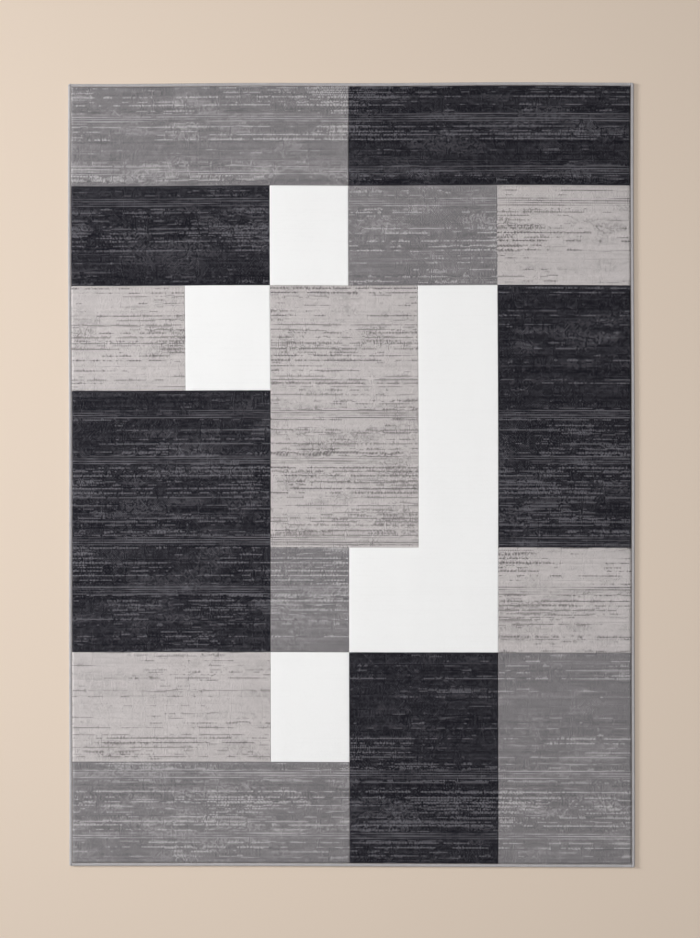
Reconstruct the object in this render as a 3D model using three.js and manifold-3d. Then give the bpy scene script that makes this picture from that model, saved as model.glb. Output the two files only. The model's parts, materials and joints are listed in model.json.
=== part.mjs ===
// A machine-woven area rug with a low cut pile in blocks of colour, lying flat.
//
// Millimetres, +Z up. The origin is the centre of the underside, +X is the rug's
// width and +Y its length. The rug is a ground weave that holds the pile, one pile
// solid for each block of colour, and four serged edges, each with its core cord,
// its needle seam and the lock knots that close the corners.

import * as THREE from 'three';
import { mergeVertices } from 'three/addons/utils/BufferGeometryUtils.js';
import Module from 'manifold-3d';

const wasm = await Module();
wasm.setup();

// ---------------------------------------------------------------- dimensions

// The whole rug, over its serged edges.
const rugWidth = 1600;
const rugLength = 2216;
const cornerRadius = 6;

// The space left between pieces that touch.
const clearance = 0.3;

// Ground weave. Its margin is thinner than the rest, and lies inside the serging.
const groundThickness = 2.8;
const marginThickness = 1.2;

// Pile, from the top of the ground weave to the cut ends of the yarn.
const pileHeight = 5.4;

// Blocks of colour. Columns run from the left edge of the pile to the right, and
// the last one takes the width that is left. Rows run from the top edge down and
// from the bottom edge up, and the middle one takes the length that is left.
const firstColumn = 321;
const secondColumn = 240;
const thirdColumn = 222;
const fourthColumn = 197;
const fifthColumn = 226;
const topRow = 282;
const secondRow = 283;
const thirdRow = 298;
const fifthRow = 297;
const sixthRow = 310;
const bottomRow = 283;

// Serging: yarn wrapped over the margin and a core cord, as one bead along an edge.
const sergingHeight = 6;
const sideSergingWidth = 8;
const endSergingWidth = 7.6;
const sergingWrap = 1.2;
const sergingEndWall = 1.2;
const cordDiameter = 2.6;

// Groove between the serging and the pile, with the needle seam lying in it.
const grooveWidth = 2;
const seamHeight = 0.8;

// Lock knots on top of the serging, where the yarn turns each corner.
const knotRadius = 2.2;
const knotHeight = 1.4;
const knotFromSide = 4;
const knotFromEnd = 5;

// ---------------------------------------------------------------- worked out

const halfWidth = rugWidth / 2;
const halfLength = rugLength / 2;
const marginBottom = groundThickness - marginThickness;
const beadRadius = sergingHeight / 2;
const cordRadius = cordDiameter / 2;
const pocketRadius = cordRadius + clearance;
const slotBottom = marginBottom - clearance;
const slotTop = groundThickness + clearance;
const marginInset = beadRadius + cordRadius + clearance;
const pileHalfWidth = halfWidth - sideSergingWidth - grooveWidth;
const pileHalfLength = halfLength - endSergingWidth - grooveWidth;
const pileBottom = groundThickness + clearance;

// Where the columns and the rows of colour begin and end.
const columnEdge = [-pileHalfWidth];
for (const width of [firstColumn, secondColumn, thirdColumn, fourthColumn, fifthColumn]) {
  columnEdge.push(columnEdge.at(-1) + width);
}
columnEdge.push(pileHalfWidth);

const rowEdge = [pileHalfLength];
for (const height of [topRow, secondRow, thirdRow]) {
  rowEdge.push(rowEdge.at(-1) - height);
}
rowEdge.push(-pileHalfLength + bottomRow + sixthRow + fifthRow);
rowEdge.push(-pileHalfLength + bottomRow + sixthRow);
rowEdge.push(-pileHalfLength + bottomRow);
rowEdge.push(-pileHalfLength);

// ---------------------------------------------------------------- materials

const yarn = {
  charcoal: { color: 0x37363c, roughness: 0.95 },
  mid: { color: 0x848083, roughness: 0.95 },
  light: { color: 0xb2acab, roughness: 0.95 },
  white: { color: 0xf1f0f0, roughness: 0.95 },
  jute: { color: 0xa89272, roughness: 0.98 },
  edge: { color: 0xb4b1b8, roughness: 0.85 },
  cord: { color: 0xd8d2c6, roughness: 0.9 },
  seam: { color: 0x77747c, roughness: 0.8 },
};

function material(name) {
  return new THREE.MeshStandardMaterial({ ...yarn[name], metalness: 0 });
}

// ---------------------------------------------------------------- geometry help

function toSolid(geometry) {
  const bare = geometry.clone();
  bare.deleteAttribute('normal');
  bare.deleteAttribute('uv');
  const merged = mergeVertices(bare, 1e-4);
  return new wasm.Manifold(new wasm.Mesh({
    numProp: 3,
    vertProperties: new Float32Array(merged.attributes.position.array),
    triVerts: new Uint32Array(merged.index.array),
  }));
}

function toGeometry(solid) {
  const mesh = solid.getMesh();
  const geometry = new THREE.BufferGeometry();
  geometry.setAttribute('position', new THREE.BufferAttribute(mesh.vertProperties, 3));
  geometry.setIndex(new THREE.BufferAttribute(mesh.triVerts, 1));
  geometry.computeVertexNormals();
  return geometry;
}

// A flat outline in X and Y, raised from one height to another.
function raised(shape, bottom, top, curveSegments = 8) {
  const depth = top - bottom;
  const geometry = new THREE.ExtrudeGeometry(shape, { depth, bevelEnabled: false, curveSegments });
  return geometry.translate(0, 0, bottom);
}

// A section drawn as distance in from the edge and height, run along a straight
// edge. The run is along +Y at the right side, and is turned for the other edges.
function alongEdge(section, length, curveSegments = 10) {
  const geometry = new THREE.ExtrudeGeometry(section, {
    depth: length,
    bevelEnabled: false,
    curveSegments,
  });
  geometry.translate(0, 0, -length / 2);
  geometry.rotateX(Math.PI / 2);
  geometry.rotateZ(Math.PI);
  return geometry;
}

function rectangle(left, bottom, right, top) {
  const corners = [[left, bottom], [right, bottom], [right, top], [left, top]];
  return new THREE.Shape(corners.map(([x, y]) => new THREE.Vector2(x, y)));
}

function roundedRectangle(width, height, radius) {
  const x = width / 2 - radius;
  const y = height / 2 - radius;
  const shape = new THREE.Shape();
  shape.absarc(x, y, radius, 0, Math.PI / 2);
  shape.absarc(-x, y, radius, Math.PI / 2, Math.PI);
  shape.absarc(-x, -y, radius, Math.PI, 1.5 * Math.PI);
  shape.absarc(x, -y, radius, 1.5 * Math.PI, 2 * Math.PI);
  return shape;
}

function circle(x, y, radius) {
  const shape = new THREE.Shape();
  shape.absarc(x, y, radius, 0, 2 * Math.PI);
  return shape;
}

// ---------------------------------------------------------------- ground weave

function groundWeave() {
  const body = rectangle(
    -halfWidth + sideSergingWidth + clearance,
    -halfLength + endSergingWidth + clearance,
    halfWidth - sideSergingWidth - clearance,
    halfLength - endSergingWidth - clearance,
  );
  const margin = rectangle(
    -halfWidth + marginInset,
    -halfLength + marginInset,
    halfWidth - marginInset,
    halfLength - marginInset,
  );
  const lower = toSolid(raised(body, 0, groundThickness));
  const upper = toSolid(raised(margin, marginBottom, groundThickness));
  return toGeometry(lower.add(upper));
}

// ---------------------------------------------------------------- pile

// Moves an outline of right-angled corners inwards, given anticlockwise.
function inset(points, distance) {
  return points.map((point, index) => {
    const before = points.at(index - 1);
    const after = points[(index + 1) % points.length];
    const arriving = point.clone().sub(before).normalize();
    const leaving = after.clone().sub(point).normalize();
    const x = point.x - (arriving.y + leaving.y) * distance;
    const y = point.y + (arriving.x + leaving.x) * distance;
    return new THREE.Vector2(x, y);
  });
}

// A block of colour, from its corners as column and row edges, anticlockwise.
function pileField(corners) {
  const points = corners.map(([column, row]) => new THREE.Vector2(columnEdge[column], rowEdge[row]));
  return raised(new THREE.Shape(inset(points, clearance / 2)), pileBottom, pileBottom + pileHeight);
}

// The corners of a plain block that spans columns and rows.
function block(left, top, right, bottom) {
  return [[left, bottom], [right, bottom], [right, top], [left, top]];
}

const fields = [
  ['pile_mid_top_left', 'mid', block(0, 0, 3, 1)],
  ['pile_charcoal_top_right', 'charcoal', block(3, 0, 6, 1)],
  ['pile_charcoal_upper_left', 'charcoal', block(0, 1, 2, 2)],
  ['pile_white_upper_middle', 'white', block(2, 1, 3, 2)],
  ['pile_mid_upper_middle', 'mid', block(3, 1, 5, 2)],
  ['pile_light_upper_right', 'light', block(5, 1, 6, 2)],
  ['pile_light_upper_left', 'light', block(0, 2, 1, 3)],
  ['pile_white_upper_left', 'white', block(1, 2, 2, 3)],
  ['pile_light_centre', 'light', block(2, 2, 4, 4)],
  ['pile_white_angled', 'white', [[3, 5], [5, 5], [5, 2], [4, 2], [4, 4], [3, 4]]],
  ['pile_charcoal_right', 'charcoal', block(5, 2, 6, 4)],
  ['pile_charcoal_left', 'charcoal', block(0, 3, 2, 5)],
  ['pile_mid_centre', 'mid', block(2, 4, 3, 5)],
  ['pile_light_lower_right', 'light', block(5, 4, 6, 5)],
  ['pile_light_lower_left', 'light', block(0, 5, 2, 6)],
  ['pile_white_lower_middle', 'white', block(2, 5, 3, 6)],
  ['pile_charcoal_bottom', 'charcoal', block(3, 5, 5, 7)],
  ['pile_mid_bottom_right', 'mid', block(5, 5, 6, 7)],
  ['pile_mid_bottom_left', 'mid', block(0, 6, 3, 7)],
];

// ---------------------------------------------------------------- edges

// The outside of the bead: flat below, round outside, sloping down to the seam.
function beadSection(width) {
  const section = new THREE.Shape();
  section.moveTo(width, 0);
  section.lineTo(width, slotTop + sergingWrap);
  section.quadraticCurveTo(width - sergingWrap, sergingHeight, beadRadius, sergingHeight);
  section.absarc(beadRadius, beadRadius, beadRadius, Math.PI / 2, 1.5 * Math.PI);
  section.closePath();
  return section;
}

const rugOutline = toSolid(
  raised(roundedRectangle(rugWidth, rugLength, cornerRadius), -clearance, sergingHeight + pileHeight, 12),
);

// Turns a run made for the right side to its own edge.
function placed(geometry, angle, distance) {
  return geometry.translate(distance, 0, 0).rotateZ(angle);
}

// One edge's bead, with a pocket for the cord and a slot on the inner side for the
// margin. Both run for the edge's hollow length, centred on it.
function serging(angle, edge) {
  const slot = rectangle(marginInset - clearance, slotBottom, edge.width + clearance, slotTop);
  const pocket = circle(beadRadius, beadRadius, pocketRadius);
  const place = (section, run) => toSolid(placed(alongEdge(section, run), angle, edge.distance));
  const cavity = place(slot, edge.hollow).add(place(pocket, edge.hollow));
  const bead = place(beadSection(edge.width), edge.run);
  return toGeometry(bead.subtract(cavity).intersect(rugOutline));
}

function edgeCord(angle, edge) {
  const section = circle(beadRadius, beadRadius, cordRadius);
  return placed(alongEdge(section, edge.cordRun, 12), angle, edge.distance);
}

function needleSeam(angle, edge) {
  const outer = edge.width + clearance;
  const inner = edge.width + grooveWidth - clearance;
  const bottom = groundThickness + clearance;
  const shoulder = bottom + seamHeight / 2;
  const section = new THREE.Shape();
  section.moveTo(inner, bottom);
  section.lineTo(inner, shoulder);
  section.quadraticCurveTo((inner + outer) / 2, shoulder + seamHeight, outer, shoulder);
  section.lineTo(outer, bottom);
  section.closePath();
  return placed(alongEdge(section, edge.seamRun, 4), angle, edge.distance);
}

function cornerKnot(x, y) {
  const profile = [new THREE.Vector2(0, 0), new THREE.Vector2(knotRadius, 0)];
  const steps = 5;
  for (let step = 1; step < steps; step += 1) {
    const turn = (step / steps) * (Math.PI / 2);
    profile.push(new THREE.Vector2(knotRadius * Math.cos(turn), knotHeight * Math.sin(turn)));
  }
  profile.push(new THREE.Vector2(0, knotHeight));
  const geometry = new THREE.LatheGeometry(profile, 14);
  return geometry.rotateX(Math.PI / 2).translate(x, y, sergingHeight + clearance);
}

// The sides run the whole length of the rug, and the ends fit between them.
const sides = {
  distance: halfWidth,
  width: sideSergingWidth,
  run: rugLength,
  hollow: rugLength - 2 * sergingEndWall,
  cordRun: rugLength - 2 * (sergingEndWall + clearance),
  seamRun: 2 * pileHalfLength,
};
const ends = {
  distance: halfLength,
  width: endSergingWidth,
  run: rugWidth - 2 * (sideSergingWidth + clearance),
  hollow: rugWidth,
  cordRun: rugWidth - 2 * (sideSergingWidth + 2 * clearance),
  seamRun: 2 * (pileHalfWidth + grooveWidth - clearance),
};

// Each edge: its name, its turn from the right side, and its sizes.
const edges = [
  ['right', 0, sides],
  ['left', Math.PI, sides],
  ['top', Math.PI / 2, ends],
  ['bottom', -Math.PI / 2, ends],
];

// ---------------------------------------------------------------- the rug

const rug = new THREE.Group();

function addPiece(name, geometry, yarnName) {
  const mesh = new THREE.Mesh(geometry, material(yarnName));
  mesh.name = name;
  rug.add(mesh);
}

addPiece('ground_weave', groundWeave(), 'jute');

for (const [name, yarnName, corners] of fields) {
  addPiece(name, pileField(corners), yarnName);
}

for (const [name, angle, edge] of edges) {
  addPiece(`serging_${name}`, serging(angle, edge), 'edge');
  addPiece(`edge_cord_${name}`, edgeCord(angle, edge), 'cord');
  addPiece(`needle_seam_${name}`, needleSeam(angle, edge), 'seam');
}

for (const [xName, xSide] of [['left', -1], ['right', 1]]) {
  for (const [yName, ySide] of [['top', 1], ['bottom', -1]]) {
    const x = xSide * (halfWidth - knotFromSide);
    const y = ySide * (halfLength - knotFromEnd);
    addPiece(`corner_knot_${yName}_${xName}`, cornerKnot(x, y), 'edge');
  }
}

export default rug;
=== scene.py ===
"""An area rug on a pale floor, seen from above: cut pile in blocks of colour, with serged edges.

Every length is in metres. +X runs along the rug's width, +Y along its length and +Z up from the floor.
"""

import json
import math

import bpy
import numpy as np
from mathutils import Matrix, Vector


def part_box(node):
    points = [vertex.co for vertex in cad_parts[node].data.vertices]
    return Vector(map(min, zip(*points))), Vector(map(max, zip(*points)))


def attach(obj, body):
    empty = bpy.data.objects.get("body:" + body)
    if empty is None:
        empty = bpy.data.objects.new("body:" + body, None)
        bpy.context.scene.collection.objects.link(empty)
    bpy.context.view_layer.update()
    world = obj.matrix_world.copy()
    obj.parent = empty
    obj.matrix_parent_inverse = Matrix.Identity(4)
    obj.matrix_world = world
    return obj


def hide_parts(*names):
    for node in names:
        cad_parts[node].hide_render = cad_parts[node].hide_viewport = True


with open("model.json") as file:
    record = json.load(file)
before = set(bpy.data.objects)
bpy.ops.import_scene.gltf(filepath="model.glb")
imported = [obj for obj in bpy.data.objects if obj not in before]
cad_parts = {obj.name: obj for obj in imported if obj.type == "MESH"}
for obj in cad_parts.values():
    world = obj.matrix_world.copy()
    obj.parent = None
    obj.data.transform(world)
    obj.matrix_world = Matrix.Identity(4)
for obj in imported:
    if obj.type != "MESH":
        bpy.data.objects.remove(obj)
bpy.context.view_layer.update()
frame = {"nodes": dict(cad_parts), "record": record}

BODY = "root"
SLOTS = {part["node"]: part["material_slot"] for part in frame["record"]["subparts"]}
PILE_NODES = sorted(name for name in frame["nodes"] if name.startswith("pile_"))
SIDES = ("right", "left", "top", "bottom")

# Parts of a piece's map, each as its size and its lowest corner. Walls have their foot and top, or
# where each starts and how broad it is. A tube lies in bands, and its two ends are small discs.
PILE_TOP_MAP = ((0.96, 0.86), (0.02, 0.12))
PILE_UNDER_MAP = ((0.96, 0.03), (0.02, 0.07))
PILE_WALL_MAP = (0.012, 0.055)
GROUND_UNDER_MAP = ((0.97, 0.60), (0.01, 0.38))
GROUND_TOP_MAP = ((0.97, 0.30), (0.01, 0.04))
GROUND_SIDES = (0.006, 0.022)
GROUND_SIDE_WIDTH = 0.01
GROUND_ENDS = (0.983, 0.99)
GROUND_END_WIDTH = 0.004
TUBE_LENGTH = 0.98
TUBE_HEIGHT = 0.97
TUBE_FILL = 0.96
TUBE_START = 0.01
TUBE_ENDS = ((0.25, 0.992), (0.75, 0.992))
TUBE_END_RADIUS = 0.006

# Tufts of the cut pile. SAME_EDGE is how near two blocks' edges are that share a line of tufts.
TUFT_WIDTH = 0.0031
TUFT_LENGTH = 0.00325
SAME_EDGE = 0.002
FIELD_INSET = 0.00015
VALLEY_DEPTH = 0.0011
PLACE_JITTER = 0.00028
HEIGHT_JITTER = 0.00028

# The rug's rim: how far its corners drop, by turns, and how far the rim tufts, the line inside them
# and the second tufts do
RIM_DROP = (0.0029, 0.0019)
SHOULDER = (0.0013, 0.0006, 0.0002)
RIM_LEAN = 0.0001
RIM_BULGE = 0.0003

# Yarns of each colour. mottle is how much the tone changes from fibre to fibre, and the lay shade is
# painted shading: how much lighter or darker the pile looks in patches where it lies another way. bias
# makes streaks commoner, faint is the share of the second yarn between them, grain is how unlike its
# neighbours each tuft is, and relief is how far the tufts differ in height.
YARNS = {
    "pile_charcoal": {
        "name": "charcoal_pile", "base": (0.0060, 0.0055, 0.0095), "streak": (0.150, 0.145, 0.163),
        "mottle": 0.10, "lay_shade": 0.05, "sheen": 0.0,
        "bias": 0.0, "faint": 0.05, "grain": 0.10, "relief": 1.0,
    },
    "pile_mid_grey": {
        "name": "mid_grey_pile", "base": (0.132, 0.124, 0.132), "streak": (0.490, 0.470, 0.475),
        "mottle": 0.06, "lay_shade": 0.05, "sheen": 0.05,
        "bias": -0.02, "faint": 0.15, "grain": 0.11, "relief": 1.0,
    },
    "pile_light_grey": {
        "name": "light_grey_pile", "base": (0.578, 0.539, 0.535), "streak": (0.105, 0.096, 0.096),
        "mottle": 0.05, "lay_shade": 0.03, "sheen": 0.05,
        "bias": 0.37, "faint": 0.14, "grain": 0.12, "relief": 0.9,
    },
    "pile_white": {
        "name": "white_pile", "base": (0.855, 0.853, 0.850), "streak": (0.84, 0.838, 0.835),
        "mottle": 0.015, "lay_shade": 0.01, "sheen": 0.05,
        "bias": 0.0, "faint": 0.0, "grain": 0.0, "relief": 0.4,
    },
}

# Streaks of the second yarn. A busy belt has more of them: its middle and its reach, as places along
# the rug. In a band every second row is a thin line.
PATTERN_SEED = 20
BUSY_BELTS = (
    (1.00, 0.08), (0.85, 0.03), (0.69, 0.08), (0.38, 0.06),
    (0.00, 0.17), (-0.19, 0.05), (-0.36, 0.06), (-0.95, 0.15),
)
BAND_PLACES = (1.01, 0.86, 0.77, 0.17, 0.04, -0.19, -0.33, -0.85, -1.02)
BAND_REACH = 0.011
BAND_SHARE = 0.50
BAND_WAVES = ((40, 0.22), (5, 0.12))
BAND_LIMITS = (0.1, 0.9)
BESIDE_BAND = 0.3

# Rows: the steps from one main row to the next, and how likely and how strong each kind is, from
# least to most, or from a calm row to the busiest
MAIN_ROW_STEPS = (3, 4, 4, 5)
ORDINARY_CHANCE = (0.70, 0.95)
ORDINARY_STRENGTH = (0.4, 0.8)
BUSY_STRENGTH = 0.12
WEAK_CHANCE = (0.25, 0.50)
WEAK_STRENGTH = (0.2, 0.5)
BOLD_CHANCE = 0.22
BESIDE_BOLD = 0.4

# Runs of tufts in a row: waves as tufts and height, patches as rows, tufts and height, and how high
# a run must stand in a row with no strength, and how much less in a full one. RUN_TONE is the share
# of the second yarn in a run that only just shows.
RUN_WAVES = ((8, 1.0), (30, 0.8), (2.0, 0.45))
RUN_SPREAD = 1.35
RUN_PATCH = (24, 50, 0.5)
BUSY_GAIN = 0.6
BUSY_LEVEL = 0.45
RUN_LEVEL = 2.05
STRENGTH_GAIN = 2.45
RUN_TONE = 0.66
TONE_GAIN = 0.38
ROW_TONE = (0.75, 1.0)
DOT_DEPTH = 0.65
MISSING_TUFTS = 0.08
CORE_HEIGHT = 0.9
CORE_STRENGTH = 0.45
RAGGED_CHANCE = 0.5
RAGGED_ABOVE = 0.6
RAGGED_BELOW = 0.35

# The cloth between the streaks: how much its rows, short runs and alternate tufts differ, and clouds
# of the second yarn, each as rows, tufts and height
ROW_CHANGE = 0.045
RUN_CHANGE = (4, 0.03)
CHECKER = 0.16
LONE_TUFTS = 0.3
GRAIN_STEP = 2.2
CLOUDS = ((6, 24, 1.0), (16, 60, 0.5))
CLOUD_LEVEL = 0.1
CLOUD_RISE = 0.3
CLOUD_MOST = 1.6
CLOUD_STRENGTH = (0.5, 1.3)
CLOUD_HAZE = 0.02
CLOUD_SPECKS = 0.26
SPECK_CHANCE = 0.55

# Edge: strands wrapped over it, with a groove between every two, deeper and shallower by turns, the
# lips where they meet the ground, the seam's stitches, the cord's plies and the corner knots
STRAND_PITCH = 0.0045
STRAND_STEPS = 4
STRAND_DEPTH = 0.0009
STRAND_FULLNESS = (0.7, 1.25)
STRAND_SLANT = 0.315
STRAND_SHIFT = 0.12
GROOVE_DEPTHS = (1.25, 0.8)
LIP_RELIEF = 0.6
WRAP_WALL = 0.0013
LIP_HEIGHT = 0.0022
LIP_ROUND = 0.0012
LIP_BEVEL = 0.0003
LIP_FOOT = 0.0009
PIECE_GAP = 0.0003
CORNER_RADIUS = 0.006
STITCH_PITCH = 0.0057
STITCH_SHARE = 0.66
STITCH_SIDES = 6
CORD_STEP = 0.0015
CORD_SIDES = 10
PLY_TWIST = 0.009
PLY_WAIST = 0.14
KNOT_YARN = 0.0008
KNOT_SINK = 0.0009
KNOT_SIDES = 8

# Ground weave
RIB_PITCH = 0.0065
RIB_STEPS = 4
RIB_DEPTH = 0.0005
RIB_COLUMNS = 45
MARGIN_HEIGHT = 0.0016
STEP_WIDTH = 0.00002

# Floor, lights and camera
FLOOR_HALF = 40.0
FLOOR_LEVEL = -0.0003
FLOOR_COLOUR = (0.66, 0.553, 0.458)
WINDOW_PLACE = (-9.0, 2.1, 3.3)
WINDOW_SIZE = (2.4, 2.4)
WINDOW_SPREAD = 60
WINDOW_POWER = 118
CEILING_PLACE = (-1.5, 0.1, 5.5)
CEILING_SIZE = (5.0, 4.0)
CEILING_POWER = 172
FILL_COLOUR = (1.0, 0.99, 0.98)
FILL_STRENGTH = 0.28
CAMERA_PLACE = (-0.004, 0.0135, 6.0)
CAMERA_LENS = 81.4
CAMERA_REACH = 60.0


# ---------------------------------------------------------------- shape of the whole cloth

def lie(points):
    """The points as they lie on the floor: the cloth is a few millimetres off its straight lines."""
    x, y, z = points.T
    side_waves = 0.0007 * np.sin(5.2 * y + 0.9) + 0.0006 * np.sin(2.3 * y - 0.4 + 0.6 * x)
    skew = 0.0021 * np.sin(2.0 * (y - 0.18))
    pinch = 0.0021 * np.exp(-((x - 0.40) / 0.22) ** 2)
    end_waves = 0.0009 * np.sin(8.3 * (x + 0.49)) * (0.55 + 0.45 * np.sin(1.4 * y))
    long_wave = 0.0004 * np.sin(3.1 * x + 2.0)
    shrinkage = 0.0018 * y * (1 - np.sin(1.9 * x))
    end_pull = y ** 4 * (0.0018 - 0.0011 * y)
    across = side_waves - (skew + pinch)
    ahead = end_waves + long_wave - shrinkage - end_pull
    return np.stack([x + across, y + ahead, z], 1)


# ---------------------------------------------------------------- meshes

class Faces:
    """Faces of one mesh, collected in groups of equal size, with a map, a yarn share and a finish."""

    def __init__(self):
        self.corners, self.places, self.sizes, self.shares, self.flats = [], [], [], [], []

    def add(self, corners, places, share=0.0, flat=False):
        """Faces given by their vertices (faces x corners) and by places on the map."""
        corners = np.asarray(corners)
        count, size = corners.shape
        self.corners.append(corners.ravel())
        self.places.append(np.asarray(places, float).reshape(-1, 2))
        self.sizes.append(np.full(count, size))
        self.shares.append(np.broadcast_to(np.asarray(share, float), (count,)))
        self.flats.append(np.full(count, flat))

    def mesh(self, name, points):
        """The mesh that these faces make on the points."""
        sizes = np.concatenate(self.sizes)
        starts = np.concatenate([[0], np.cumsum(sizes)[:-1]])
        corners = np.concatenate(self.corners)
        mesh = bpy.data.meshes.new(name)
        mesh.vertices.add(len(points))
        mesh.vertices.foreach_set("co", points.astype(np.float32).ravel())
        mesh.loops.add(len(corners))
        mesh.loops.foreach_set("vertex_index", corners.astype(np.int32))
        mesh.polygons.add(len(sizes))
        mesh.polygons.foreach_set("loop_start", starts.astype(np.int32))
        mesh.update(calc_edges=True)
        uv_map = mesh.uv_layers.new(name="OFBake")
        uv_map.data.foreach_set("uv", np.concatenate(self.places).astype(np.float32).ravel())
        share = mesh.attributes.new("yarn", "FLOAT", "FACE")
        share.data.foreach_set("value", np.concatenate(self.shares).astype(np.float32))
        flat = mesh.attributes.new("sharp_face", "BOOLEAN", "FACE")
        flat.data.foreach_set("value", np.concatenate(self.flats))
        mesh.validate()
        return mesh


def add_piece(name, mesh, material, node):
    """A piece of the rug that stands for a CAD node."""
    piece = bpy.data.objects.new(name, mesh)
    bpy.context.scene.collection.objects.link(piece)
    mesh.materials.append(material)
    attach(piece, BODY)
    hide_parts(node)
    return piece


def make_outward(mesh):
    """Turns every face over if the closed mesh is inside out."""
    points = np.zeros(len(mesh.vertices) * 3, np.float32)
    mesh.vertices.foreach_get("co", points)
    points = points.reshape(-1, 3).astype(float)
    mesh.calc_loop_triangles()
    corners = np.zeros(len(mesh.loop_triangles) * 3, np.int32)
    mesh.loop_triangles.foreach_get("vertices", corners)
    a, b, c = (points[corners.reshape(-1, 3)[:, i]] for i in range(3))
    if (a * np.cross(b, c)).sum() < 0:
        mesh.flip_normals()


def add_closed(name, faces, points, material, node):
    """A piece made from a closed mesh, laid with the cloth."""
    mesh = faces.mesh(name, lie(points))
    make_outward(mesh)
    return add_piece(name, mesh, material, node)


# ---------------------------------------------------------------- materials

def node_material(name, roughness, sheen):
    """A fabric material, its nodes' links and its shader."""
    material = bpy.data.materials.new(name)
    material.use_nodes = True
    tree = material.node_tree
    shader = tree.nodes["Principled BSDF"]
    shader.inputs["Roughness"].default_value = roughness
    shader.inputs["Sheen Weight"].default_value = sheen
    shader.inputs["Sheen Roughness"].default_value = 0.6
    shader.inputs["Specular IOR Level"].default_value = 0.15
    return material, tree, shader


def place(tree, stretch=(1.0, 1.0, 1.0)):
    """The point on the rug, with each axis multiplied."""
    coordinates = tree.nodes.new("ShaderNodeTexCoord")
    mapping = tree.nodes.new("ShaderNodeMapping")
    mapping.inputs["Scale"].default_value = stretch
    tree.links.new(coordinates.outputs["Object"], mapping.inputs["Vector"])
    return mapping.outputs["Vector"]


def noise(tree, vector, scale, detail):
    """Smooth noise from 0 to 1, with so many waves to a metre."""
    texture = tree.nodes.new("ShaderNodeTexNoise")
    texture.inputs["Scale"].default_value = scale
    texture.inputs["Detail"].default_value = detail
    tree.links.new(vector, texture.inputs["Vector"])
    return texture.outputs["Fac"]


def spread(tree, value, low, high):
    """A value from 0.25 to 0.75, which is where noise lies, spread over low to high."""
    node = tree.nodes.new("ShaderNodeMapRange")
    node.inputs["From Min"].default_value = 0.25
    node.inputs["From Max"].default_value = 0.75
    node.inputs["To Min"].default_value = low
    node.inputs["To Max"].default_value = high
    tree.links.new(value, node.inputs["Value"])
    return node.outputs["Result"]


def calculate(tree, operation, first, second):
    """One sum on two sockets, or on a socket and a number."""
    node = tree.nodes.new("ShaderNodeMath")
    node.operation = operation
    for socket, value in zip(node.inputs, (first, second)):
        if isinstance(value, (int, float)):
            socket.default_value = value
        else:
            tree.links.new(value, socket)
    return node.outputs["Value"]


def blend(tree, share, first, second):
    """The first colour mixed with the second by a share."""
    node = tree.nodes.new("ShaderNodeMix")
    node.data_type = "RGBA"
    tree.links.new(share, node.inputs["Factor"])
    node.inputs["A"].default_value = (*first, 1.0)
    node.inputs["B"].default_value = (*second, 1.0)
    return node.outputs["Result"]


def shade(tree, colour, amount):
    """A colour made lighter or darker by an amount around 1."""
    node = tree.nodes.new("ShaderNodeMix")
    node.data_type = "RGBA"
    node.blend_type = "MULTIPLY"
    node.inputs["Factor"].default_value = 1.0
    tree.links.new(colour, node.inputs["A"])
    tree.links.new(amount, node.inputs["B"])
    return node.outputs["Result"]


def bump(tree, shader, height, distance):
    """Raises the surface by a height from 0 to 1 over a distance."""
    node = tree.nodes.new("ShaderNodeBump")
    node.inputs["Distance"].default_value = distance
    node.inputs["Strength"].default_value = 1.0
    tree.links.new(height, node.inputs["Height"])
    tree.links.new(node.outputs["Normal"], shader.inputs["Normal"])


def pile_material(yarns):
    """Cut yarn ends: two yarns mixed tuft by tuft, fibres, and painted shading in patches where the pile
    lies another way.
    """
    material, tree, shader = node_material(yarns["name"], 0.9, yarns["sheen"])
    share = tree.nodes.new("ShaderNodeAttribute")
    share.attribute_name = "yarn"
    fibres = noise(tree, place(tree), 1500, 3.0)
    mixed = calculate(tree, "ADD", share.outputs["Fac"], spread(tree, fibres, -0.04, 0.04))
    colour = blend(tree, mixed, yarns["base"], yarns["streak"])
    # Painted shading: broad soft patches, long along the rug, made lighter or darker where the pile lies
    # another way
    lay_shade = noise(tree, place(tree, (1.0, 0.22, 1.0)), 9, 2.0)
    fine_tone = spread(tree, fibres, 1 - yarns["mottle"], 1 + yarns["mottle"])
    painted_lay_shade = spread(tree, lay_shade, 1 - yarns["lay_shade"], 1 + yarns["lay_shade"])
    # The tone is the fibres' own mottle times the painted lay shading
    tone = calculate(tree, "MULTIPLY", fine_tone, painted_lay_shade)
    tree.links.new(shade(tree, colour, tone), shader.inputs["Base Color"])
    tree.links.new(spread(tree, fibres, 0.82, 0.98), shader.inputs["Roughness"])
    bump(tree, shader, fibres, 0.0007)
    return material


def thread_material(name, colour, darker, fineness):
    """Spun yarn or thread, with fibres of a fineness and uneven dye."""
    material, tree, shader = node_material(name, 0.8, 0.3)
    fibres = noise(tree, place(tree), fineness, 3.0)
    dye = noise(tree, place(tree), 60, 2.0)
    mixed = blend(tree, spread(tree, fibres, 0.0, 1.0), darker, colour)
    tree.links.new(shade(tree, mixed, spread(tree, dye, 0.94, 1.06)), shader.inputs["Base Color"])
    tree.links.new(spread(tree, fibres, 0.88, 0.7), shader.inputs["Roughness"])
    bump(tree, shader, fibres, 0.0002)
    return material


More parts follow.
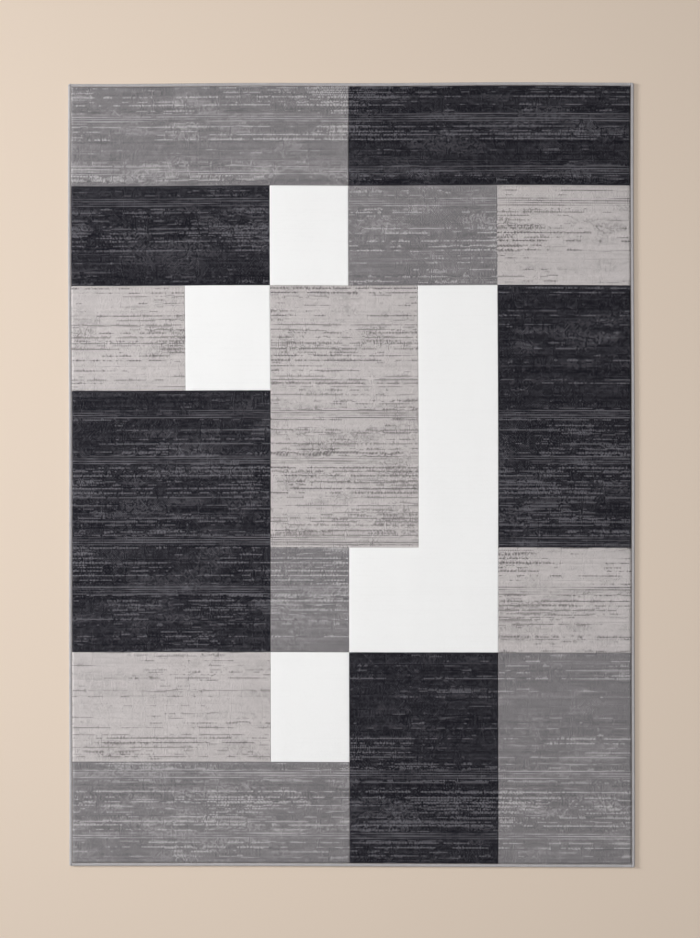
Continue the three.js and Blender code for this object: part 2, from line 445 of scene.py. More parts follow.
def ground_material():
    """Jute weft over cotton warp: coarse threads both ways, with darker slubs."""
    material, tree, shader = node_material("jute_ground", 0.92, 0.1)
    weft = noise(tree, place(tree, (0.15, 1.0, 1.0)), 420, 3.0)
    warp = noise(tree, place(tree, (1.0, 0.15, 1.0)), 420, 3.0)
    slubs = noise(tree, place(tree, (0.5, 1.0, 1.0)), 50, 3.0)
    mixed = blend(tree, spread(tree, weft, 0.0, 1.0), (0.28, 0.19, 0.10), (0.54, 0.42, 0.27))
    tone = calculate(tree, "MULTIPLY", spread(tree, warp, 0.66, 1.3), spread(tree, slubs, 0.92, 1.08))
    tree.links.new(shade(tree, mixed, tone), shader.inputs["Base Color"])
    tree.links.new(spread(tree, slubs, 0.98, 0.85), shader.inputs["Roughness"])
    bump(tree, shader, calculate(tree, "ADD", weft, warp), 0.0006)
    return material


# ---------------------------------------------------------------- the pile's grid of tufts

def merged(values, within):
    """Sorted values, where those closer together than within are replaced by their mean."""
    groups = []
    for value in sorted(values):
        if groups and value - groups[-1][-1] < within:
            groups[-1].append(value)
        else:
            groups.append([value])
    return [sum(group) / len(group) for group in groups]


def tuft_lines(edges, pitch):
    """The lines between rows of tufts: the blocks' edges, with even steps of about a pitch between them."""
    lines = [edges[0]]
    for low, high in zip(edges, edges[1:]):
        count = round((high - low) / pitch)
        lines += list(np.linspace(low, high, count + 1)[1:])
    return np.array(lines)


def owners(boxes, x, y):
    """For each tuft the number of its block: where boxes overlap, the smaller box has it."""
    owner = np.full((len(y), len(x)), -1)
    order = sorted(range(len(boxes)), key=lambda i: -np.prod(boxes[i][1] - boxes[i][0]))
    for number in order:
        low, high = boxes[number]
        inside = np.outer((y > low[1]) & (y < high[1]), (x > low[0]) & (x < high[0]))
        owner[inside] = number
    return owner


# ---------------------------------------------------------------- the streaks

def along(rng, rows, columns, step):
    """Noise about 0 and 1 wide that changes over so many tufts of a row, and is new in every row."""
    knots = rng.normal(size=(rows, int(columns / step) + 3))
    at = np.arange(columns) / step + rng.uniform(0, 1)
    low = at.astype(int)
    part = at - low
    part = part * part * (3 - 2 * part)
    value = knots[:, low] * (1 - part) + knots[:, low + 1] * part
    return value / np.sqrt((1 - part) ** 2 + part ** 2)


def patches(rng, rows, columns, row_step, column_step):
    """Noise about 0 and 1 wide that changes over so many rows and so many tufts."""
    knots = along(rng, int(rows / row_step) + 3, columns, column_step)
    at = np.arange(rows) / row_step
    low = at.astype(int)
    part = (at - low)[:, None]
    part = part * part * (3 - 2 * part)
    value = knots[low] * (1 - part) + knots[low + 1] * part
    return value / np.sqrt((1 - part) ** 2 + part ** 2)


def busyness(y):
    """How busy each row is, from 0 where the cloth is calm to 1 in the middle of a busy belt."""
    belts = sum(np.exp(-((y - middle) / reach) ** 2) for middle, reach in BUSY_BELTS)
    return np.clip(belts, 0, 1)[:, None]


def ranged(pair, share):
    """The value that lies so far from the first of a pair to the second."""
    return pair[0] + (pair[1] - pair[0]) * share


def row_strengths(rng, busy):
    """How strong the streaks of each row are: bold, ordinary, weak or none."""
    rows = len(busy)
    steps = np.cumsum(rng.choice(MAIN_ROW_STEPS, size=rows))
    main = np.isin(np.arange(rows), steps)[:, None]
    ordinary = main & (rng.uniform(size=(rows, 1)) < ranged(ORDINARY_CHANCE, busy))
    usual = rng.uniform(*ORDINARY_STRENGTH, size=(rows, 1)) + BUSY_STRENGTH * busy
    strength = np.where(ordinary, usual, 0.0)
    weak = rng.uniform(size=(rows, 1)) < ranged(WEAK_CHANCE, busy)
    strength = np.maximum(strength, weak * rng.uniform(*WEAK_STRENGTH, size=(rows, 1)))
    bold = np.flatnonzero(main[:, 0] & (rng.uniform(size=rows) < BOLD_CHANCE))
    strength[np.clip(bold - 1, 0, rows - 1)] *= BESIDE_BOLD
    strength[np.clip(bold + 1, 0, rows - 1)] *= BESIDE_BOLD
    strength[bold] = 1.0
    return strength


def dashes(rng, strength, busy, bias):
    """Broken lines of the second yarn: runs of tufts in the strong rows, dotted, with ragged sides."""
    rows, columns = bias.shape
    column = np.arange(columns)[None, :]
    waves = sum(height * along(rng, rows, columns, tufts) for tufts, height in RUN_WAVES)
    patch_rows, patch_tufts, patch_height = RUN_PATCH
    run = waves / RUN_SPREAD + patch_height * patches(rng, rows, columns, patch_rows, patch_tufts)
    height = run + bias + BUSY_GAIN * (busy - BUSY_LEVEL) - (RUN_LEVEL - STRENGTH_GAIN * strength)
    tone = np.clip(RUN_TONE + TONE_GAIN * height, 0, 1) * ranged(ROW_TONE, strength)
    repeat = rng.integers(2, 4, size=(rows, 1))
    dotted = 1 - DOT_DEPTH * ((column + rng.integers(0, 6, size=(rows, 1))) % repeat == 0)
    dash = np.where((height > 0) & (strength > 0), tone * dotted, 0.0)
    core = (height > CORE_HEIGHT) & (strength > CORE_STRENGTH)
    checker = (column + np.arange(rows)[:, None]) % 2 == 0
    ragged = (rng.uniform(size=bias.shape) < RAGGED_CHANCE) & checker
    dash = np.maximum(dash, (np.roll(core, 1, axis=0) & ragged) * RAGGED_ABOVE)
    dash = np.maximum(dash, (np.roll(core, -1, axis=0) & ragged) * RAGGED_BELOW)
    return dash * (rng.uniform(size=bias.shape) > MISSING_TUFTS), dotted


def lined(rng, dash, dotted, y):
    """The dashes with the bands of thin lines laid over them."""
    rows, columns = dash.shape
    for middle in BAND_PLACES:
        inside = (np.abs(y - middle) < BAND_REACH)[:, None]
        line = (np.arange(rows)[:, None] - np.argmax(inside)) % 2 == 0
        level = BAND_SHARE + sum(height * along(rng, rows, columns, tufts) for tufts, height in BAND_WAVES)
        thin_line = np.clip(level, *BAND_LIMITS) * (1 + dotted) / 2
        dash = np.where(inside, np.where(line, thin_line, dash * BESIDE_BAND), dash)
    return dash


def streaks(y, bias, faint, grain):
    """The share of the second yarn in each tuft, from 0 to 1, given its block's values from YARNS."""
    rng = np.random.default_rng(PATTERN_SEED)
    shape = rows, columns = bias.shape
    busy = busyness(y)
    dash, dotted = dashes(rng, row_strengths(rng, busy), busy, bias)
    dash = lined(rng, dash, dotted, y)
    checker = (np.arange(columns)[None, :] + np.arange(rows)[:, None]) % 2
    column_turn = 1 - 2 * (np.arange(columns)[None, :] % 2)
    cloud = sum(height * patches(rng, rows, columns, tall, wide) for tall, wide, height in CLOUDS)
    cloud = np.clip(cloud - CLOUD_LEVEL + CLOUD_RISE * busy, 0, CLOUD_MOST) * ranged(CLOUD_STRENGTH, busy)
    run_tufts, run_change = RUN_CHANGE
    mottle = faint + ROW_CHANGE * rng.normal(size=(rows, 1))
    mottle = mottle + run_change * along(rng, rows, columns, run_tufts)
    mottle = mottle + CHECKER * (checker - 0.5) + LONE_TUFTS * grain * rng.normal(size=shape)
    mottle = mottle + grain * column_turn * along(rng, rows, columns, GRAIN_STEP)
    mottle = mottle + grain * (2 * checker - 1) * patches(rng, rows, columns, GRAIN_STEP, GRAIN_STEP)
    specks = checker * (rng.uniform(size=shape) < SPECK_CHANCE)
    mottle = mottle + cloud * (CLOUD_HAZE + CLOUD_SPECKS * specks)
    return np.clip(np.maximum(dash, mottle), 0, 1)


# ---------------------------------------------------------------- blocks of cut pile

class Pile:
    """All the tufts of the rug, and the mesh of each block of colour."""

    def __init__(self, nodes):
        self.boxes = [tuple(np.array(corner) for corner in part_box(node)) for node in nodes]
        self.line_x = tuft_lines(merged([c[0] for box in self.boxes for c in box], SAME_EDGE), TUFT_WIDTH)
        self.line_y = tuft_lines(merged([c[1] for box in self.boxes for c in box], SAME_EDGE), TUFT_LENGTH)
        self.x = (self.line_x[1:] + self.line_x[:-1]) / 2
        self.y = (self.line_y[1:] + self.line_y[:-1]) / 2
        self.owner = owners(self.boxes, self.x, self.y)
        yarns = [YARNS[SLOTS[node]] for node in nodes]
        self.relief = [yarn["relief"] for yarn in yarns]
        bias, faint, grain = (
            np.array([yarn[key] for yarn in yarns])[self.owner] for key in ("bias", "faint", "grain")
        )
        self.share = streaks(self.y, bias, faint, grain)
        rng = np.random.default_rng(PATTERN_SEED + 1)
        corners = (len(self.line_y), len(self.line_x))
        self.corner_jitter = rng.uniform(-1, 1, size=(*corners, 3))
        self.centre_jitter = rng.uniform(-1, 1, size=(len(self.y), len(self.x), 3))

    def ring(self, inside):
        """The block's outline, anticlockwise.

        For each tuft side on it: the corners where it starts and ends, its tuft's row and column, and
        the step from that tuft out of the block.
        """
        padded = np.pad(inside, 1)
        tall, wide = padded.shape
        corners_wide = inside.shape[1] + 1
        follow = {}
        for step_x, step_y, start, end in (
            (0, -1, (0, 0), (0, 1)),
            (1, 0, (0, 1), (1, 1)),
            (0, 1, (1, 1), (1, 0)),
            (-1, 0, (1, 0), (0, 0)),
        ):
            beyond = padded[1 + step_y:tall - 1 + step_y, 1 + step_x:wide - 1 + step_x]
            for row, column in np.argwhere(inside & ~beyond):
                first = (row + start[0]) * corners_wide + column + start[1]
                last = (row + end[0]) * corners_wide + column + end[1]
                follow[first] = (last, row, column, step_x, step_y)
        first = min(follow)
        ring = []
        corner = first
        while not ring or corner != first:
            ring.append((corner, *follow[corner]))
            corner = follow[corner][0]
        return np.array(ring)

    def corner_steps(self, inside):
        """How far each grid corner moves, first at its foot and then at its top.

        The block stands clear of the next one, and leans out at the rug's rim.
        """
        padded = np.pad(inside, 1).astype(int)
        south_west, south_east = padded[:-1, :-1], padded[:-1, 1:]
        north_west, north_east = padded[1:, :-1], padded[1:, 1:]
        step_x = np.sign(south_east + north_east - south_west - north_west) * FIELD_INSET
        step_y = np.sign(north_west + north_east - south_west - south_east) * FIELD_INSET
        lean_x, lean_y = step_x.copy(), step_y.copy()
        lean_x[:, [0, -1]] *= -RIM_LEAN / FIELD_INSET
        lean_y[[0, -1], :] *= -RIM_LEAN / FIELD_INSET
        return step_x, step_y, lean_x, lean_y

    def rim_drops(self):
        """How far the grid corners and the tufts' middles drop along the rug's rim."""
        corners = np.zeros((len(self.line_y), len(self.line_x)))
        odd = (np.arange(len(self.line_y))[:, None] + np.arange(len(self.line_x))) % 2
        alternate = np.where(odd, *RIM_DROP)
        corners[[1, -2], 1:-1] = corners[1:-1, [1, -2]] = SHOULDER[1]
        corners[[0, -1], :] = alternate[[0, -1], :]
        corners[:, [0, -1]] = alternate[:, [0, -1]]
        middles = np.zeros((len(self.y), len(self.x)))
        middles[[1, -2], :] = middles[:, [1, -2]] = SHOULDER[2]
        middles[[0, -1], :] = middles[:, [0, -1]] = SHOULDER[0]
        return corners, middles

    def at_rim(self, ring):
        """Which tuft sides of a block's outline lie on the rug's rim."""
        row, column, step_x, step_y = ring[:, 2], ring[:, 3], ring[:, 4], ring[:, 5]
        beside = ((step_x < 0) & (column == 0)) | ((step_x > 0) & (column == len(self.x) - 1))
        ahead = ((step_y < 0) & (row == 0)) | ((step_y > 0) & (row == len(self.y) - 1))
        return beside | ahead

    def grid_points(self, inside, top, valley, root, relief):
        """The top and the foot of every grid corner."""
        step_x, step_y, lean_x, lean_y = self.corner_steps(inside)
        grid_x, grid_y = np.meshgrid(self.line_x, self.line_y)
        jitter = self.corner_jitter * relief
        rim = self.rim_drops()[0]
        corner = np.stack([
            grid_x + lean_x + jitter[..., 0] * PLACE_JITTER,
            grid_y + lean_y + jitter[..., 1] * PLACE_JITTER,
            top - valley - rim + jitter[..., 2] * HEIGHT_JITTER,
        ], -1).reshape(-1, 3)
        foot = np.stack([grid_x + step_x, grid_y + step_y, np.full(grid_x.shape, root)], -1)
        return corner, foot.reshape(-1, 3)

    def tuft_middles(self, rows, columns, top, relief):
        """The highest point of each tuft."""
        jitter = self.centre_jitter[rows, columns] * relief
        rim = self.rim_drops()[1]
        return np.stack([
            self.x[columns] + jitter[:, 0] * PLACE_JITTER,
            self.y[rows] + jitter[:, 1] * PLACE_JITTER,
            top + jitter[:, 2] * HEIGHT_JITTER - HEIGHT_JITTER - rim[rows, columns],
        ], 1)

    def block(self, number):
        """The faces and points of one block: a dome for each tuft, walls of yarn and a plain underside."""
        low, high = self.boxes[number]
        relief = self.relief[number]
        valley = VALLEY_DEPTH * (1 + relief) / 2
        inside = self.owner == number
        rows, columns = np.nonzero(inside)
        corner, foot = self.grid_points(inside, high[2], valley, low[2], relief)
        centre = self.tuft_middles(rows, columns, high[2], relief)

        ring = self.ring(inside)
        first, last, ring_row, ring_column = ring[:, 0], ring[:, 1], ring[:, 2], ring[:, 3]
        outward = np.pad(ring[:, 4:6].astype(float), ((0, 0), (0, 1)))
        at_rim = self.at_rim(ring)
        middle = (corner[first] + corner[last]) / 2 + outward * (at_rim * RIM_BULGE)[:, None]
        middle[:, 2] += valley / 2 * ~at_rim
        foot_middle = (foot[first] + foot[last]) / 2

        wide = len(self.line_x)
        south_west = rows * wide + columns
        cell_corners = np.stack([south_west, south_west + 1, south_west + wide + 1, south_west + wide], 1)
        used, local = np.unique(cell_corners, return_inverse=True)
        local = local.reshape(cell_corners.shape)
        points = np.concatenate([corner[used], centre, middle, foot[first], foot_middle])
        starts = np.cumsum([0, len(used), len(centre), len(middle), len(middle)])
        count = len(ring)
        centre_id = starts[1] + np.arange(len(centre))
        middle_id, foot_id, foot_middle_id = (start + np.arange(count) for start in starts[2:])
        first_id, last_id = np.searchsorted(used, first), np.searchsorted(used, last)

        least, most = points[:, :2].min(0), points[:, :2].max(0)
        plan = (points[:, :2] - least) / (most - least)
        on_top = plan * PILE_TOP_MAP[0] + PILE_TOP_MAP[1]
        underneath = plan * PILE_UNDER_MAP[0] + PILE_UNDER_MAP[1]
        share = self.share[rows, columns]
        faces = Faces()
        neighbours = np.pad(inside, 1)
        for side, (step_x, step_y) in enumerate(((0, -1), (1, 0), (0, 1), (-1, 0))):
            inner = neighbours[rows + 1 + step_y, columns + 1 + step_x]
            fan = np.stack([local[inner, side], local[inner, (side + 1) % 4], centre_id[inner]], 1)
            faces.add(fan, on_top[fan], share[inner])

        cell_of = np.full(inside.shape, -1)
        cell_of[rows, columns] = np.arange(len(rows))
        ring_cell = cell_of[ring_row, ring_column]
        for half in (
            np.stack([first_id, middle_id, centre_id[ring_cell]], 1),
            np.stack([middle_id, last_id, centre_id[ring_cell]], 1),
        ):
            faces.add(half, on_top[half], share[ring_cell])
        around = np.arange(count + 1) / count * PILE_TOP_MAP[0][0] + PILE_TOP_MAP[1][0]
        begin, end, half_way = around[:-1], around[1:], (around[:-1] + around[1:]) / 2
        wall_foot, wall_top = (np.full(count, level) for level in PILE_WALL_MAP)
        for wall, near, far in (
            (np.stack([foot_id, foot_middle_id, middle_id, first_id], 1), begin, half_way),
            (np.stack([foot_middle_id, np.roll(foot_id, -1), last_id, middle_id], 1), half_way, end),
        ):
            places = np.stack([near, wall_foot, far, wall_foot, far, wall_top, near, wall_top], 1)
            places = places.reshape(-1, 4, 2)
            for kept, is_flat in ((at_rim, False), (~at_rim, True)):
                if kept.any():
                    faces.add(wall[kept], places[kept], share[ring_cell][kept], is_flat)
        base = np.stack([foot_id, foot_middle_id], 1).ravel()[::-1][None, :]
        faces.add(base, underneath[base], 0.0, True)
        return faces, lie(points)


def build_pile(materials):
    """A piece for every block of colour."""
    pile = Pile(PILE_NODES)
    pieces = []
    for number, node in enumerate(PILE_NODES):
        name = node.replace("pile_", "tufts_")
        faces, points = pile.block(number)
        pieces.append(add_piece(name, faces.mesh(name, points), materials[SLOTS[node]], node))
    return pieces


# ---------------------------------------------------------------- edge

def swept(sections):
    """The faces of a closed tube through sections (sections x points x 3), mapped in rows on the square."""
    count, around = sections.shape[:2]
    ids = np.arange(count * around).reshape(count, around)
    following = np.roll(ids, -1, axis=1)
    quads = np.stack([ids[:-1], ids[1:], following[1:], following[:-1]], -1).reshape(-1, 4)
    bands = max(1, round(math.sqrt(count / around / 3)))
    per_band = math.ceil((count - 1) / bands)
    index = np.repeat(np.arange(count - 1), around)
    band, step = index // per_band, index % per_band
    turn = np.tile(np.arange(around), count - 1)
    u0, u1 = (TUBE_START + TUBE_LENGTH * at / per_band for at in (step, step + 1))
    height = TUBE_HEIGHT / bands
    v0 = TUBE_START + band * height + turn / around * height * TUBE_FILL
    v1 = v0 + height * TUBE_FILL / around
    places = np.stack([u0, v0, u1, v0, u1, v1, u0, v1], 1).reshape(-1, 4, 2)
    faces = Faces()
    faces.add(quads, places)
    angle = np.arange(around) / around * 2 * math.pi
    disc = np.stack([np.cos(angle), np.sin(angle)], 1) * TUBE_END_RADIUS
    for end, middle in zip((ids[0], ids[-1][::-1]), TUBE_ENDS):
        faces.add(end[None, :], disc + middle, 0.0, True)
    return faces, sections.reshape(-1, 3)


def edge_frame(side, node):
    """How to place points on an edge piece, and its length, its width, its foot and its top."""
    low, high = (np.array(corner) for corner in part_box(node))
    upright = side in ("right", "left")
    length = (high - low)[1 if upright else 0]
    outer = {"right": high[0], "left": low[0], "top": high[1], "bottom": low[1]}[side]
    sign = -1 if side in ("right", "top") else 1
    width = (high - low)[0 if upright else 1]

    def put(travel, inward, height):
        """The point so far along the edge, so far in from its outer side, and so high."""
        across = outer + sign * inward
        run = (low[1] if upright else low[0]) + travel
        pair = (across, run) if upright else (run, across)
        return np.stack([*np.broadcast_arrays(pair[0], pair[1], height)], -1)

    return put, length, width, low[2], high[2]


def serging_outline(width, height, lip):
    """The outside of the wrapped edge, from its upper lip round the outer side to its lower lip."""
    bead = height / 2
    outline = []
    for step in range(6):
        t = step / 6
        inward = (1 - t) ** 2 * width + 2 * t * (1 - t) * (width - LIP_ROUND) + t * t * bead
        level = (1 - t) ** 2 * lip + 2 * t * (1 - t) * height + t * t * height
        outline.append((inward, level))
    for step in range(11):
        angle = math.pi * step / 10
        outline.append((bead - math.sin(angle) * bead, bead + math.cos(angle) * bead))
    outline += [(inward, 0.0) for inward in (bead * 1.45, bead * 1.9, width - LIP_ROUND)]
    outline += [(width - LIP_BEVEL, LIP_BEVEL), (width, LIP_FOOT)]
    return np.array(outline)


def serging_bore(width, slot, pocket_middle, pocket):
    """The inside of the wrapped edge, from its lower lip round the cord's pocket to its upper lip."""
    inward, height = pocket_middle
    bore = [(width, slot[0]), (inward + pocket * 0.9, slot[0])]
    for step in range(7):
        angle = math.radians(-35 - 290 * step / 6)
        bore.append((inward + pocket * math.cos(angle), height + pocket * math.sin(angle)))
    bore += [(inward + pocket * 0.9, slot[1]), (width, slot[1])]
    return np.array(bore)


def outline_normals(outline, width):
    """The direction out of the wrapped edge at each point of its outline."""
    ahead = np.roll(outline, -1, axis=0) - np.roll(outline, 1, axis=0)
    ahead[0], ahead[-1] = outline[1] - outline[0], outline[-1] - outline[-2]
    normal = np.stack([-ahead[:, 1], ahead[:, 0]], 1)
    normal = normal / np.linalg.norm(normal, axis=1)[:, None]
    return -normal if (normal[:, 0] * (outline[:, 0] - width / 2)).sum() < 0 else normal


def build_serging(side, material):
    """Yarn wrapped over the edge, strand by strand, round the cord."""
    node = f"serging_{side}"
    put, length, width, floor, top = edge_frame(side, node)
    cord_low, cord_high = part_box(f"edge_cord_{side}")
    ground_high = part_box("ground_weave")[1][2]
    axis = 0 if side in ("right", "left") else 1
    cord_radius = (cord_high[2] - cord_low[2]) / 2
    cord_middle = (cord_high[axis] + cord_low[axis]) / 2
    outer_edge = put(0.0, 0.0, 0.0)[axis]
    cord_in = abs(cord_middle - outer_edge)
    outline = serging_outline(width, top - floor, ground_high + LIP_HEIGHT)
    slot = (WRAP_WALL, ground_high + PIECE_GAP)
    bore = serging_bore(width, slot, (cord_in, cord_low[2] + cord_radius), cord_radius + PIECE_GAP)
    loop = np.concatenate([outline, bore])
    around = len(outline)
    arc = np.concatenate([[0], np.cumsum(np.linalg.norm(np.diff(outline, axis=0), axis=1))])

    strands = round(length / STRAND_PITCH)
    phase = np.arange(strands * STRAND_STEPS + 1) / STRAND_STEPS
    along_edge = phase / strands * length
    rng = np.random.default_rng(PATTERN_SEED + 10 + SIDES.index(side))
    strand = np.minimum(phase.astype(int), strands - 1)
    fullness = rng.uniform(*STRAND_FULLNESS, size=strands)[strand]
    loose = rng.uniform(-STRAND_SHIFT, STRAND_SHIFT, size=strands)[strand] * STRAND_PITCH
    part = phase - phase.astype(int)
    groove = (2 * part - 1) ** 2
    groove = np.where(part == 0, np.where(strand % 2 == 0, *GROOVE_DEPTHS), groove)
    from_end = np.minimum(along_edge, length - along_edge)
    slant_left = np.clip(from_end / CORNER_RADIUS, 0, 1)
    corner = np.clip(CORNER_RADIUS - from_end, 0, CORNER_RADIUS)
    inset = (CORNER_RADIUS - np.sqrt(CORNER_RADIUS ** 2 - corner ** 2)) * (axis == 0)

    reach = np.zeros(len(loop))
    reach[:around] = arc - arc[around // 2]
    relief = np.zeros(len(loop))
    relief[2:around - 2] = 1.0
    relief[[1, around - 2]] = LIP_RELIEF
    full_normal = np.zeros((len(loop), 2))
    full_normal[:around] = outline_normals(outline, width)
    travel = along_edge[:, None] + slant_left[:, None] * (reach[None, :] * STRAND_SLANT)
    travel[1:-1] += (loose * slant_left)[1:-1, None] * relief[None, :]
    travel = np.clip(travel, 0, length)
    depth = -STRAND_DEPTH * (groove * fullness)[:, None] * relief[None, :]
    inward = loop[None, :, 0] + depth * full_normal[None, :, 0]
    height = loop[None, :, 1] + depth * full_normal[None, :, 1]
    inward = inset[:, None] + inward * (width - inset)[:, None] / width
    sections = put(travel, inward, floor + height)
    return add_closed(f"wrapped_{node}", *swept(sections), material, node)


def build_cord(side, material):
    """Two plies of cotton twisted together, inside the wrapped edge."""
    node = f"edge_cord_{side}"
    put, length, width, floor, _ = edge_frame(side, node)
    radius = width / 2
    count = round(length / CORD_STEP)
    travel = np.linspace(0, length, count + 1)[:, None]
    angle = (np.arange(CORD_SIDES) / CORD_SIDES * 2 * math.pi)[None, :]
    twist = travel / PLY_TWIST * 2 * math.pi
    reach = radius * (1 - PLY_WAIST + PLY_WAIST * np.cos(2 * (angle - twist)))
    inward = radius + reach * np.cos(angle)
    sections = put(travel + 0 * angle, inward, floor + radius + reach * np.sin(angle))
    return add_closed(f"twisted_{node}", *swept(sections), material, node)


def joined(parts):
    """Several sets of faces and points as one."""
    faces, points, count = Faces(), [], 0
    for part, own in parts:
        groups = zip(part.corners, part.places, part.sizes, part.shares, part.flats)
        for corners, places, sizes, shares, flats in groups:
            size = int(sizes[0])
            faces.add(corners.reshape(-1, size) + count, places, shares, bool(flats[0]))
        points.append(own)
        count += len(own)
    return faces, np.concatenate(points)


def stitch_shape(length, width, height):
    """A short arched stitch along x: sections x points x 3, rising from its ends."""
    at = np.array([-1.0, -0.92, -0.6, -0.2, 0.2, 0.6, 0.92, 1.0])
    rise = np.sqrt(np.clip(1 - at ** 2, 0.0, 1)) ** 0.7
    thick = np.sqrt(np.clip(1 - at ** 4, 0.04, 1))
    angle = np.arange(STITCH_SIDES) / STITCH_SIDES * 2 * math.pi
    x = (at * length / 2)[:, None] + 0 * angle[None, :]
    y = thick[:, None] * np.cos(angle)[None, :] * width / 2
    z = (rise * height * 0.5)[:, None] + thick[:, None] * (1 + np.sin(angle))[None, :] * height * 0.25
    return np.stack([x, y, z], -1)


def build_seam(side, material):
    """A row of overlock stitches between the wrapped edge and the pile."""
    node = f"needle_seam_{side}"
    put, length, width, floor, top = edge_frame(side, node)
    count = round(length / STITCH_PITCH)
    pitch = length / count
    shape = stitch_shape(pitch * STITCH_SHARE, width * 1.05, (top - floor) * 2.0)
    rng = np.random.default_rng(PATTERN_SEED + 20 + SIDES.index(side))
    parts = []
    for number in range(count):
        turn = rng.uniform(-0.12, 0.12)
        travel = shape[..., 0] + (number + 0.5) * pitch
        inward = width / 2 + shape[..., 1] + shape[..., 0] * turn * 0.4
        parts.append(swept(put(travel, inward, floor + shape[..., 2])))
    return add_closed(f"stitches_{node}", *joined(parts), material, node)


def strand_tube(path, radius):
    """A yarn along a path of points: sections x points x 3."""
    path = np.array(path, float)
    ahead = np.gradient(path, axis=0)
    ahead /= np.linalg.norm(ahead, axis=1)[:, None]
    side = np.cross(ahead, (0.0, 0.0, 1.0))
    side /= np.maximum(np.linalg.norm(side, axis=1), 1e-9)[:, None]
    above = np.cross(side, ahead)
    angle = (np.arange(KNOT_SIDES) / KNOT_SIDES * 2 * math.pi)[None, :, None]
    ends = np.minimum(np.arange(len(path)), np.arange(len(path))[::-1])
    size = (radius * np.where(ends == 0, 0.45, 1.0))[:, None, None]
    return path[:, None, :] + size * (side[:, None, :] * np.cos(angle) + above[:, None, :] * np.sin(angle))


def build_knot(node, material):
    """Lock stitches over a corner: loops of the serging yarn that cross."""
    low, high = (np.array(corner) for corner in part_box(node))
    middle = (low + high) / 2
    out = np.sign(middle[:2])
    reach = (high[0] - low[0]) / 2
    parts = []
    for number, (start, end, lift) in enumerate((
        ((-1.35, 0.95), (1.25, -0.75), 0.30),
        ((-1.15, -0.85), (1.15, 1.05), 0.62),
        ((-1.45, 0.10), (1.30, 0.30), 0.45),
    )):
        path = []
        for step in range(13):
            t = step / 12
            arch = math.sin(math.pi * t)
            aside = 0.15 * arch * (number - 1)
            x = middle[0] + out[0] * reach * ranged((start[0], end[0]), t)
            y = middle[1] + out[1] * reach * (ranged((start[1], end[1]), t) + aside)
            z = low[2] - KNOT_SINK + (high[2] - low[2]) * (0.15 + (lift + 0.25) * arch)
            path.append((x, y, z))
        parts.append(swept(strand_tube(path, KNOT_YARN)))
    return add_closed(f"loops_{node}", *joined(parts), material, node)


# ---------------------------------------------------------------- ground weave

def build_ground(material):
    """The woven ground under the pile: weft ribs underneath, and a thin margin inside the serging."""
    node = "ground_weave"
    low, high = (np.array(corner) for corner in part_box(node))
    margin_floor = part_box("serging_right")[0][2] + MARGIN_HEIGHT
    lip_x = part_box("serging_right")[0][0] - PIECE_GAP
    lip_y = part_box("serging_top")[0][1] - PIECE_GAP
    step_x, step_y = lip_x + STEP_WIDTH, lip_y + STEP_WIDTH
    across = np.linspace(-lip_x, lip_x, RIB_COLUMNS)
    x = np.concatenate([[low[0], -step_x], across, [step_x, high[0]]])
    ribs = round(2 * lip_y / RIB_PITCH)
    ahead = np.linspace(-lip_y, lip_y, ribs * RIB_STEPS + 1)
    y = np.concatenate([[low[1], -step_y], ahead, [step_y, high[1]]])
    grid_x, grid_y = np.meshgrid(x, y)
    columns = np.arange(len(x))[None, :]
    phase = (grid_y + lip_y) / (2 * lip_y) * ribs + 0.5 * (columns % 2)
    under = RIB_DEPTH * (0.5 - 0.5 * np.cos(2 * math.pi * phase))
    half_step = STEP_WIDTH / 2
    in_margin = (np.abs(grid_x) > lip_x + half_step) | (np.abs(grid_y) > lip_y + half_step)
    under = np.where(in_margin, margin_floor, low[2] + under)
    bottom = np.stack([grid_x, grid_y, under], -1).reshape(-1, 3)
    rows, wide = grid_x.shape
    ids = np.arange(rows * wide).reshape(rows, wide)
    left_top = rows * wide + np.arange(rows)
    right_top = left_top + rows
    top = np.concatenate([
        np.stack([np.full(rows, x[0]), y, np.full(rows, high[2])], 1),
        np.stack([np.full(rows, x[-1]), y, np.full(rows, high[2])], 1),
    ])
    points = np.concatenate([bottom, top])
    plan = (points[:, :2] - low[:2]) / (high[:2] - low[:2])
    below_map = plan * GROUND_UNDER_MAP[0] + GROUND_UNDER_MAP[1]
    above_map = plan * GROUND_TOP_MAP[0] + GROUND_TOP_MAP[1]
    faces = Faces()
    quads = np.stack([ids[:-1, :-1], ids[1:, :-1], ids[1:, 1:], ids[:-1, 1:]], -1).reshape(-1, 4)
    faces.add(quads, below_map[quads])
    cover = np.stack([left_top[:-1], right_top[:-1], right_top[1:], left_top[1:]], 1)
    faces.add(cover, above_map[cover])
    t = np.arange(rows) / (rows - 1) * GROUND_TOP_MAP[0][0] + GROUND_TOP_MAP[1][0]
    for (near, far), v in zip(((ids[:, 0], left_top), (right_top, ids[:, -1])), GROUND_SIDES):
        wall = np.stack([near[:-1], far[:-1], far[1:], near[1:]], 1)
        low_v, high_v = np.full(rows - 1, v), np.full(rows - 1, v + GROUND_SIDE_WIDTH)
        places = np.stack([t[:-1], low_v, t[:-1], high_v, t[1:], high_v, t[1:], low_v], 1)
        faces.add(wall, places, 0.0, True)
    for row, step, u in zip((0, -1), (1, -1), GROUND_ENDS):
        loop = np.concatenate([[left_top[row]], ids[row], [right_top[row]]])[::step]
        at_top = points[loop, 2] > (margin_floor + high[2]) / 2
        places = np.stack([u + GROUND_END_WIDTH * at_top, plan[loop, 0] * 0.9 + 0.05], 1)
        faces.add(loop[None, :], places, 0.0, True)
    return add_closed("woven_ground", faces, points, material, node)


# ---------------------------------------------------------------- floor, lights and camera

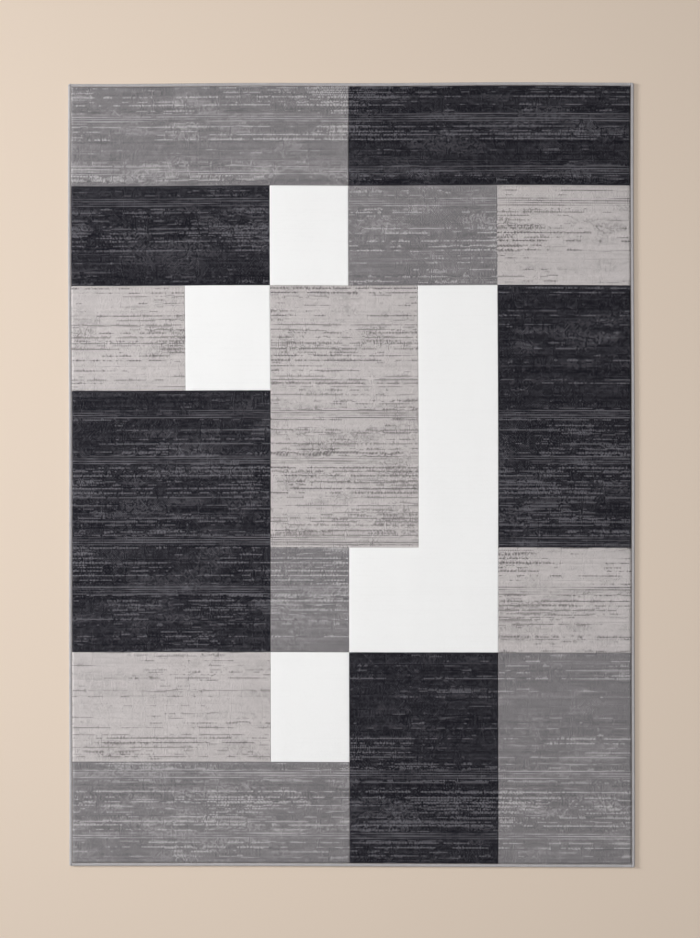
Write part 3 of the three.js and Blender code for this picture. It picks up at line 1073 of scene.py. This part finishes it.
def build_floor():
    """A plain pale floor."""
    mesh = bpy.data.meshes.new("floor")
    turns = ((-1, -1), (1, -1), (1, 1), (-1, 1))
    corners = [(x * FLOOR_HALF, y * FLOOR_HALF, FLOOR_LEVEL) for x, y in turns]
    mesh.from_pydata(corners, [], [(0, 1, 2, 3)])
    floor = bpy.data.objects.new("floor", mesh)
    bpy.context.scene.collection.objects.link(floor)
    material, _, shader = node_material("pale_floor", 1.0, 0.0)
    shader.inputs["Specular IOR Level"].default_value = 0.0
    shader.inputs["Base Color"].default_value = (*FLOOR_COLOUR, 1.0)
    mesh.materials.append(material)


def area_light(name, place_at, size, power):
    """A rectangular light that the camera doesn't see, facing down."""
    data = bpy.data.lights.new(name, "AREA")
    data.shape = "RECTANGLE"
    data.size, data.size_y = size
    data.energy = power
    light = bpy.data.objects.new(name, data)
    bpy.context.scene.collection.objects.link(light)
    light.location = place_at
    light.visible_camera = False
    return light


def build_light():
    """A broad soft light from the left, a soft one above, and an even fill from all round."""
    window = area_light("window", WINDOW_PLACE, WINDOW_SIZE, WINDOW_POWER)
    window.data.spread = math.radians(WINDOW_SPREAD)
    window.rotation_euler = (-window.location).to_track_quat("-Z", "Y").to_euler()
    area_light("ceiling", CEILING_PLACE, CEILING_SIZE, CEILING_POWER)
    world = bpy.data.worlds.new("fill")
    world.use_nodes = True
    background = world.node_tree.nodes["Background"]
    background.inputs["Color"].default_value = (*FILL_COLOUR, 1.0)
    background.inputs["Strength"].default_value = FILL_STRENGTH
    bpy.context.scene.world = world


def build_camera():
    """A long lens, straight above the rug."""
    data = bpy.data.cameras.new("above")
    data.lens = CAMERA_LENS
    data.clip_end = CAMERA_REACH
    camera = bpy.data.objects.new("above", data)
    bpy.context.scene.collection.objects.link(camera)
    camera.location = CAMERA_PLACE
    bpy.context.scene.camera = camera
    bpy.context.scene.view_settings.view_transform = "Standard"


# ---------------------------------------------------------------- the rug

build_camera()
build_floor()
build_light()
pile_materials = {slot: pile_material(yarns) for slot, yarns in YARNS.items()}
serging_material = thread_material("serging_yarn", (0.485, 0.47, 0.482), (0.29, 0.28, 0.29), 900)
cord_material = thread_material("cotton_cord", (0.72, 0.68, 0.58), (0.50, 0.46, 0.38), 1500)
seam_material = thread_material("seam_thread", (0.62, 0.60, 0.63), (0.38, 0.37, 0.39), 1800)
weave_material = ground_material()

others = build_pile(pile_materials)
for edge in SIDES:
    others.append(build_serging(edge, serging_material))
    others.append(build_cord(edge, cord_material))
    others.append(build_seam(edge, seam_material))
for knot_node in sorted(name for name in frame["nodes"] if name.startswith("corner_knot_")):
    others.append(build_knot(knot_node, serging_material))
ground = build_ground(weave_material)
